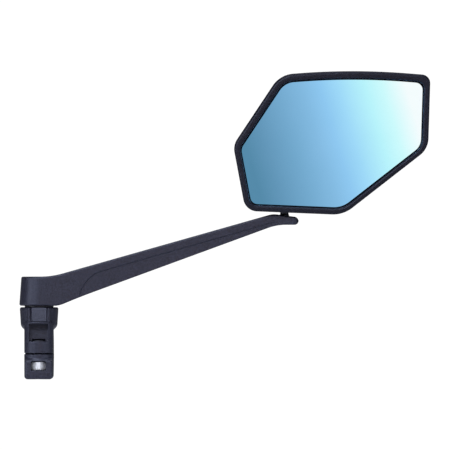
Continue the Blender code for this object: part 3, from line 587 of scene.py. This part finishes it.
# Corner x, corner z, corner radius and the rim's width along the edge that follows
HEAD_CORNERS = [
    (166.0, 192.4, 19.0, 6.1),
    (218.0, 196.2, 480.0, 6.1),
    (270.1, 192.0, 6.3, 5.3),
    (268.5, 140.8, 15.5, 4.8),
    (209.8, 95.1, 22.0, 5.25),
    (142.1, 97.9, 10.2, 5.2),
    (133.5, 143.5, 12.8, 6.1),
]
SMALLEST_RADIUS = 5.0
RIM_Y = -14.0
BACK_Y = 1.0
BACK_FALL = 12.6                # how far the back falls towards the rim
BACK_REACH = 4.44               # how quickly it does
WALL = 2.1
OPENING_INSET = -0.7
GLASS_INSET = 0.15
GLASS_CENTRE = (203.0, 146.0)
GLASS_CURVE = 1200.0
GLASS_Y = -13.0
GLASS_THICK = 2.0
GLASS_REACH = 110.0             # farther from the glass's middle than any of its corners
INNER_ROW = 0.04                # size of the glass's innermost row of points, as a share
SEAT_Y = -9.5
LEDGE = 3.5
HOLLOW_INSET = 9.0
BALL = (STUD_X, 106.4)          # x and z of the ball's centre, whose y is 0
POCKET_RADIUS = 7.6
MOUTH = (3.6, 0.37, -13.0, -4.0)  # radius at the ball's height, flare, bottom and top
SOCKET_SPREAD = 10.0            # half distance between the centres of the socket's round ends
SOCKET_END = 9.2
SOCKET_FRONT = -8.4
PARTING_Y = 0.15
SCREW_X = 13.6
INSERT_HOLE = (2.8, -7.2)       # radius, and y of its floor
PLATE_END = 8.9
PLATE_BACK = 3.6
COVER_RADIUS = 9.6
SCREW_HOLE = 1.8
SCREW_SEAT = (3.1, 2.1)         # radius, and y of its floor


def head_field(x, z, insets):
    """Distance in the plane to the head's outline, with each edge moved inwards."""
    spots = [np.array(corner[:2]) for corner in HEAD_CORNERS]
    count = len(spots)
    edges = []
    for i in range(count):
        along = spots[(i + 1) % count] - spots[i]
        along = along / np.linalg.norm(along)
        out = np.array([-along[1], along[0]])
        edges.append((out, out @ spots[i] - insets[i], along))
    distance = np.maximum.reduce([out[0] * x + out[1] * z - place for out, place, _ in edges])
    for i in range(count):
        before, after = edges[i - 1], edges[i]
        shrink = (insets[i - 1] + insets[i]) / 2
        radius = max(HEAD_CORNERS[i][2] - shrink, SMALLEST_RADIUS)
        centre = np.linalg.solve([before[0], after[0]], [before[1] - radius, after[1] - radius])
        u, w = x - centre[0], z - centre[1]
        within = (before[2][0] * u + before[2][1] * w > 0) & (after[2][0] * u + after[2][1] * w < 0)
        distance = np.where(within, np.maximum(distance, np.hypot(u, w) - radius), distance)
    return distance


def rim_insets(extra):
    """Each edge's rim width plus an extra."""
    return [corner[3] + extra for corner in HEAD_CORNERS]


def dome(x, z):
    """How far the convex glass falls back at a point."""
    return ((x - GLASS_CENTRE[0]) ** 2 + (z - GLASS_CENTRE[1]) ** 2) / (2 * GLASS_CURVE)


def socket_plan(x, z):
    """Distance in the plane from the line between the centres of the socket's round ends."""
    return np.hypot(np.maximum(np.abs(x - BALL[0]) - SOCKET_SPREAD, 0), z - BALL[1])


def socket_mouth(x, y, z):
    """Ball pocket and the flared mouth below it."""
    u, w = x - BALL[0], z - BALL[1]
    radius, flare, bottom, top = MOUTH
    pocket = np.sqrt(u * u + y * y + w * w) - POCKET_RADIUS
    mouth = (np.hypot(u, y) - radius + flare * w) * level(flare)
    return pocket, np.maximum(mouth, slab(w, bottom, top))


def screw_places(x, z):
    """Distance in the plane from each of the two socket screws."""
    return [np.hypot(x - BALL[0] - side * SCREW_X, z - BALL[1]) for side in (-1, 1)]


def housing_body(x, y, z):
    """Dished shell with a rounded rim, a ledge for the glass and half of the ball socket."""
    outline = head_field(x, z, [0.0] * len(HEAD_CORNERS))
    inset = np.maximum(-outline, 0)
    fall = BACK_FALL * np.exp(-inset / BACK_REACH)
    back = (y - BACK_Y + fall) / np.sqrt(1 + (fall / BACK_REACH) ** 2)
    solid = ease_max(meet(outline, RIM_Y - y, 2.6), back, 1.2)
    pane = head_field(x, z, rim_insets(OPENING_INSET))
    seat = np.maximum(pane, y - SEAT_Y - dome(x, z))
    solid = carve(solid, seat, 1.7)
    hollow = meet(meet(pane + LEDGE, HOLLOW_INSET - inset, 1.0), back + WALL, 1.5)
    solid = np.maximum(solid, -hollow)
    post = socket_plan(x, z)
    boss = np.maximum(np.maximum(post - SOCKET_END, SOCKET_FRONT - y), y)
    solid = np.minimum(solid, np.maximum(np.maximum(boss, outline + 0.3), -seat))
    solid = carve(solid, np.maximum(post - SOCKET_END - 0.02, -PARTING_Y - y), 0.3)
    for hole in socket_mouth(x, y, z):
        solid = carve(solid, hole, 0.2)
    radius, floor = INSERT_HOLE
    for around in screw_places(x, z):
        solid = carve(solid, np.maximum(around - radius, floor - y), 0.1)
    return solid


def clamp_plate(x, y, z):
    """Rear half of the ball socket."""
    post = socket_plan(x, z) - PLATE_END
    plate = meet(post, slab(y, PARTING_Y, PLATE_BACK), 0.7)
    u, w = x - BALL[0], z - BALL[1]
    cover = meet(np.sqrt(u * u + y * y + w * w) - COVER_RADIUS, 1.0 - y, 0.1)
    solid = np.maximum(join(plate, cover, 1.0), post)
    for hole in socket_mouth(x, y, z):
        solid = carve(solid, hole, 0.2)
    radius, floor = SCREW_SEAT
    for around in screw_places(x, z):
        solid = carve(solid, np.maximum(around - radius, floor - y), 0.25)
        solid = carve(solid, around - SCREW_HOLE, 0.1)
    return solid


def glass_outline(count=720):
    """Points around the glass, found along rays from its middle."""
    angles = np.arange(count) * 2 * pi / count
    near, far = np.zeros(count), np.full(count, GLASS_REACH)
    for _ in range(40):
        reach = (near + far) / 2
        x = GLASS_CENTRE[0] + reach * np.sin(angles)
        z = GLASS_CENTRE[1] + reach * np.cos(angles)
        inside = head_field(x, z, rim_insets(GLASS_INSET)) < 0
        near, far = np.where(inside, reach, near), np.where(inside, far, reach)
    return np.stack([x, z], axis=1)


def glass_mesh():
    """Convex pane with ground edges, whose front is shaded by the curve's own slope."""
    outline = glass_outline()
    middle = np.array(GLASS_CENTRE)
    front = [(share, 0.0) for share in np.linspace(INNER_ROW, 1.0, 16)]
    back = [(share, GLASS_THICK) for share in np.linspace(1.0, INNER_ROW, 6)]
    bm = bmesh.new()
    rows = []
    for share, depth in front + back:
        points = middle + (outline - middle) * share
        row = [(x, GLASS_Y + dome(x, z) + depth, z) for x, z in points]
        rows.append([bm.verts.new(Vector(point) * MM) for point in row])
    for row, following in zip(rows, rows[1:]):
        for i in range(len(row)):
            j = (i + 1) % len(row)
            bm.faces.new((row[i], row[j], following[j], following[i]))
    for row, depth in ((rows[0], 0.0), (rows[-1], GLASS_THICK)):
        centre = bm.verts.new(Vector((middle[0], GLASS_Y + depth, middle[1])) * MM)
        for i in range(len(row)):
            bm.faces.new((row[i], row[(i + 1) % len(row)], centre))
    bmesh.ops.recalc_face_normals(bm, faces=bm.faces)
    mesh = bpy.data.meshes.new("glass_pane")
    bm.to_mesh(mesh)
    bm.free()
    mesh.shade_smooth()
    normals = []
    for face in mesh.polygons:
        is_front = face.normal.y < -0.99
        for i in face.vertices:
            x, _, z = mesh.vertices[i].co / MM
            slope = Vector((x - GLASS_CENTRE[0], -GLASS_CURVE, z - GLASS_CENTRE[1]))
            normals.append(slope.normalized() if is_front else face.normal.copy())
    mesh.normals_split_custom_set(normals)
    return mesh


# Pieces made from fields: name, field, lowest and highest corner, step, body, slot and CAD node

SOLIDS = [
    ("upper_clamp", upper_half, (-14, -25, 0), (14, 24, 32), 0.3, "base", "nylon", "clamp_upper"),
    ("lower_clamp", lower_half, (-11, -26, -19), (11, 24, 4.2), 0.3, "jaw", "nylon", "clamp_lower"),
    ("bolt_screw", bolt_body, (-6, -24, -15.5), (6, -12, 10), 0.15, "bolt", "black_steel", "clamp_bolt"),
    ("hex_nut", nut_body, (-6, -24.5, -12), (6, -11.5, -5), 0.15, "bolt_nut", "steel", "clamp_nut"),
    ("washer_ring", friction_ring, (-11, -11, 31), (11, 11, 35), 0.25,
     "base", "acetal", "friction_washer"),
    ("arm_moulding", arm_body, (-14, -14.5, 32), (180, 14.5, 98), 0.45, "arm", "nylon", "arm_beam"),
    ("head_shell", housing_body, (134, -15, 94), (270, 5, 197), 0.32, "head", "nylon", "head_housing"),
    ("rear_socket", clamp_plate, (149, -1, 95), (189, 10.5, 118), 0.3, "head", "nylon", "socket_clamp"),
    ("upper_sleeve", upper_sleeve, (-11, -13, 0), (11, 13, 13), 0.2,
     "base", "liner_rubber", "clamp_liner_upper"),
    ("lower_sleeve", lower_sleeve, (-11, -13, -13), (11, 13, 0), 0.2,
     "jaw", "liner_rubber", "clamp_liner_lower"),
]


def build_pieces():
    """Every piece that stands for a CAD node."""
    for name, field, low, high, step, body, slot, node in SOLIDS:
        # the head's pieces get the darker copy of the nylon, which paints shade on the head and its rim
        finish = "head_nylon_painted_shade" if body == "head" else slot
        add_piece(surface(name, field, low, high, step), body, slot, FINISHES[finish], node)
    add_piece(glass_mesh(), "head", "blue_mirror", FINISHES["blue_mirror"], "mirror_glass")


# CAD nodes that stay

SHARP_ANGLE = radians(28)
WELD_DISTANCE = 0.01 * MM


def smoothing():
    """Node group that joins a CAD mesh's triangles and shades all but its sharp edges smooth."""
    group = bpy.data.node_groups.new("smooth_shading", "GeometryNodeTree")
    group.interface.new_socket("Geometry", in_out="INPUT", socket_type="NodeSocketGeometry")
    group.interface.new_socket("Geometry", in_out="OUTPUT", socket_type="NodeSocketGeometry")
    chain = [group.nodes.new("NodeGroupInput")]
    weld = group.nodes.new("GeometryNodeMergeByDistance")
    weld.inputs["Distance"].default_value = WELD_DISTANCE
    faces = group.nodes.new("GeometryNodeSetShadeSmooth")
    edges = group.nodes.new("GeometryNodeSetShadeSmooth")
    edges.domain = "EDGE"
    edges.inputs["Shade Smooth"].default_value = False
    chain += [weld, faces, edges, group.nodes.new("NodeGroupOutput")]
    for node, following in zip(chain, chain[1:]):
        group.links.new(node.outputs[0], following.inputs[0])
    angle = group.nodes.new("GeometryNodeInputMeshEdgeAngle")
    sharp = group.nodes.new("FunctionNodeCompare")
    sharp.inputs["B"].default_value = SHARP_ANGLE
    group.links.new(angle.outputs["Unsigned Angle"], sharp.inputs["A"])
    group.links.new(sharp.outputs["Result"], edges.inputs["Selection"])
    return group


def finish_nodes():
    """Give every CAD node that stays a finish and smooth shading."""
    group = smoothing()
    for part in frame["record"]["subparts"]:
        obj = frame["nodes"][part["node"]]
        obj.data.materials.clear()
        obj.data.materials.append(FINISHES[part["material_slot"]])
        obj.modifiers.new("smooth_shading", "NODES").node_group = group


# Studio

CAMERA_SPOT = Vector((0.1279, -7.0, 0.0885))
FRAME_HEIGHT = 0.3105           # height of the view at the object's plane
AIM = Vector((0.13, 0.0, 0.09))
FLOOR_Z = -0.105
FLOOR_RADIUS = 1.3
FLOOR_THICK = 0.01
BACKDROP_RADIUS = 12.0
LIGHT_COLOUR = (0.86, 0.9, 1.0)
LIGHTS = [                      # name, place, width and height, power
    ("key", (-0.45, -1.95, 1.2), (1.1, 0.6), 27.0),
    ("front_left", (-1.25, -1.85, 0.75), (0.6, 0.7), 9.0),
    ("front_right", (1.35, -1.85, 0.6), (0.6, 0.7), 6.0),
    ("top", (0.1, -0.5, 2.0), (1.6, 1.0), 16.0),
    ("left", (-1.9, -1.1, 0.3), (0.7, 1.6), 14.0),
    ("right", (2.1, -1.2, 0.3), (0.7, 1.6), 8.0),
    ("rear", (0.2, 1.4, 1.5), (1.8, 1.0), 10.0),
]
SKY_COLOUR = (0.8, 0.85, 1.0)
SKY_STRENGTH = 0.16
BACKDROP_STRENGTH = 1.05
CARD_SPOT = (0.235, -4.0, 0.19)
CARD_SIZE = (1.38, 1.04)
CARD_LEAN = 0.3                 # how far the card's brightness leans, across for each unit up
CARD_START = -0.517             # where the ramp starts, across the card's middle
CARD_SPAN = 1.03
CARD_STRENGTH = 3.2
CARD_STOPS = [                  # share of the span, and brightness in red, green and blue
    (0.02, (0.31, 0.405, 0.405)),
    (0.125, (0.415, 0.482, 0.485)),
    (0.275, (0.575, 0.62, 0.615)),
    (0.425, (0.775, 0.776, 0.762)),
    (0.525, (0.925, 0.91, 0.885)),
    (0.62, (1.16, 1.09, 0.95)),
    (0.775, (1.62, 1.415, 0.975)),
    (0.87, (2.05, 1.51, 0.985)),
    (1.0, (3.1, 1.54, 1.0)),
]


def add_camera():
    """Level camera square to the mirror."""
    camera = bpy.data.cameras.new("camera")
    camera.lens = camera.sensor_width * -CAMERA_SPOT.y / FRAME_HEIGHT
    camera.clip_end = 40.0
    obj = bpy.data.objects.new("camera", camera)
    obj.location = CAMERA_SPOT
    obj.rotation_euler = (pi / 2, 0.0, 0.0)
    bpy.context.scene.collection.objects.link(obj)
    bpy.context.scene.camera = obj


def add_light(name, spot, size, power):
    """Soft box that points at the object and isn't seen itself."""
    light = bpy.data.lights.new(name, "AREA")
    light.shape = "RECTANGLE"
    light.size, light.size_y = size
    light.energy = power
    light.color = LIGHT_COLOUR
    obj = bpy.data.objects.new(name, light)
    obj.location = spot
    obj.rotation_euler = (AIM - Vector(spot)).to_track_quat("-Z", "Y").to_euler()
    obj.visible_camera = False
    bpy.context.scene.collection.objects.link(obj)


def glowing(name):
    """A material that only gives light, with its node tree and shader."""
    material, tree, shader = new_material(name)
    shader.inputs["Base Color"].default_value = (0.0, 0.0, 0.0, 1.0)
    shader.inputs["Specular IOR Level"].default_value = 0.0
    return material, tree, shader


def add_stage_mesh(name, bm, material):
    """A mesh that belongs to the studio."""
    mesh = bpy.data.meshes.new(name)
    bm.to_mesh(mesh)
    bm.free()
    mesh.shade_smooth()
    mesh.materials.append(material)
    obj = bpy.data.objects.new(name, mesh)
    bpy.context.scene.collection.objects.link(obj)
    return obj


def add_backdrop():
    """White surroundings, which light nothing."""
    bm = bmesh.new()
    bmesh.ops.create_uvsphere(bm, u_segments=48, v_segments=24, radius=BACKDROP_RADIUS)
    material, _, shader = glowing("backdrop")
    shader.inputs["Emission Color"].default_value = (1.0, 1.0, 1.0, 1.0)
    shader.inputs["Emission Strength"].default_value = BACKDROP_STRENGTH
    obj = add_stage_mesh("backdrop", bm, material)
    obj.visible_diffuse = False
    obj.visible_glossy = False
    obj.visible_shadow = False


def add_floor():
    """Pale round floor below the mirror, which hangs on its handlebar."""
    bm = bmesh.new()
    bmesh.ops.create_cone(bm, cap_ends=True, segments=128, radius1=FLOOR_RADIUS,
                          radius2=FLOOR_RADIUS, depth=FLOOR_THICK)
    material, tree, shader = new_material("floor")
    grain = add_noise(tree, 400.0, 3.0)
    shades = [(0.3, (0.84, 0.84, 0.85)), (0.7, (0.88, 0.88, 0.89))]
    tint(tree, grain, shader.inputs["Base Color"], shades)
    shader.inputs["Roughness"].default_value = 0.8
    obj = add_stage_mesh("floor", bm, material)
    obj.location = (AIM.x, 0.0, FLOOR_Z)


def add_card():
    """Glowing card for the glass to reflect, dark on the left and bright on the right."""
    bm = bmesh.new()
    bmesh.ops.create_grid(bm, x_segments=1, y_segments=1, size=0.5)
    bmesh.ops.scale(bm, vec=(*CARD_SIZE, 1.0), verts=bm.verts)
    material, tree, shader = glowing("card")
    shader.inputs["Emission Strength"].default_value = CARD_STRENGTH
    place = tree.nodes.new("ShaderNodeTexCoord")
    turn = tree.nodes.new("ShaderNodeMapping")
    lean = atan2(CARD_LEAN, 1.0)
    size = 1 / (CARD_SPAN * cos(lean))
    turn.inputs["Rotation"].default_value = (0.0, 0.0, -lean)
    turn.inputs["Scale"].default_value = (size, size, size)
    turn.inputs["Location"].default_value = (-CARD_START / CARD_SPAN, 0.0, 0.0)
    tree.links.new(place.outputs["Object"], turn.inputs["Vector"])
    split = tree.nodes.new("ShaderNodeSeparateXYZ")
    tree.links.new(turn.outputs["Vector"], split.inputs["Vector"])
    stops = [(position, shaded(colour, 1 / CARD_STRENGTH)) for position, colour in CARD_STOPS]
    tint(tree, split.outputs["X"], shader.inputs["Emission Color"], stops)
    obj = add_stage_mesh("card", bm, material)
    obj.location = CARD_SPOT
    obj.rotation_euler = (pi / 2, 0.0, 0.0)
    obj.visible_camera = False
    obj.visible_diffuse = False
    obj.visible_shadow = False


def add_studio():
    """Camera, soft light, pale floor and white surroundings."""
    scene = bpy.context.scene
    scene.view_settings.view_transform = "Standard"
    world = bpy.data.worlds.new("studio")
    scene.world = world
    world.use_nodes = True
    sky = world.node_tree.nodes["Background"]
    sky.inputs["Color"].default_value = (*SKY_COLOUR, 1.0)
    sky.inputs["Strength"].default_value = SKY_STRENGTH
    add_camera()
    add_backdrop()
    add_floor()
    add_card()
    for light in LIGHTS:
        add_light(*light)


build_pieces()
finish_nodes()
add_studio()
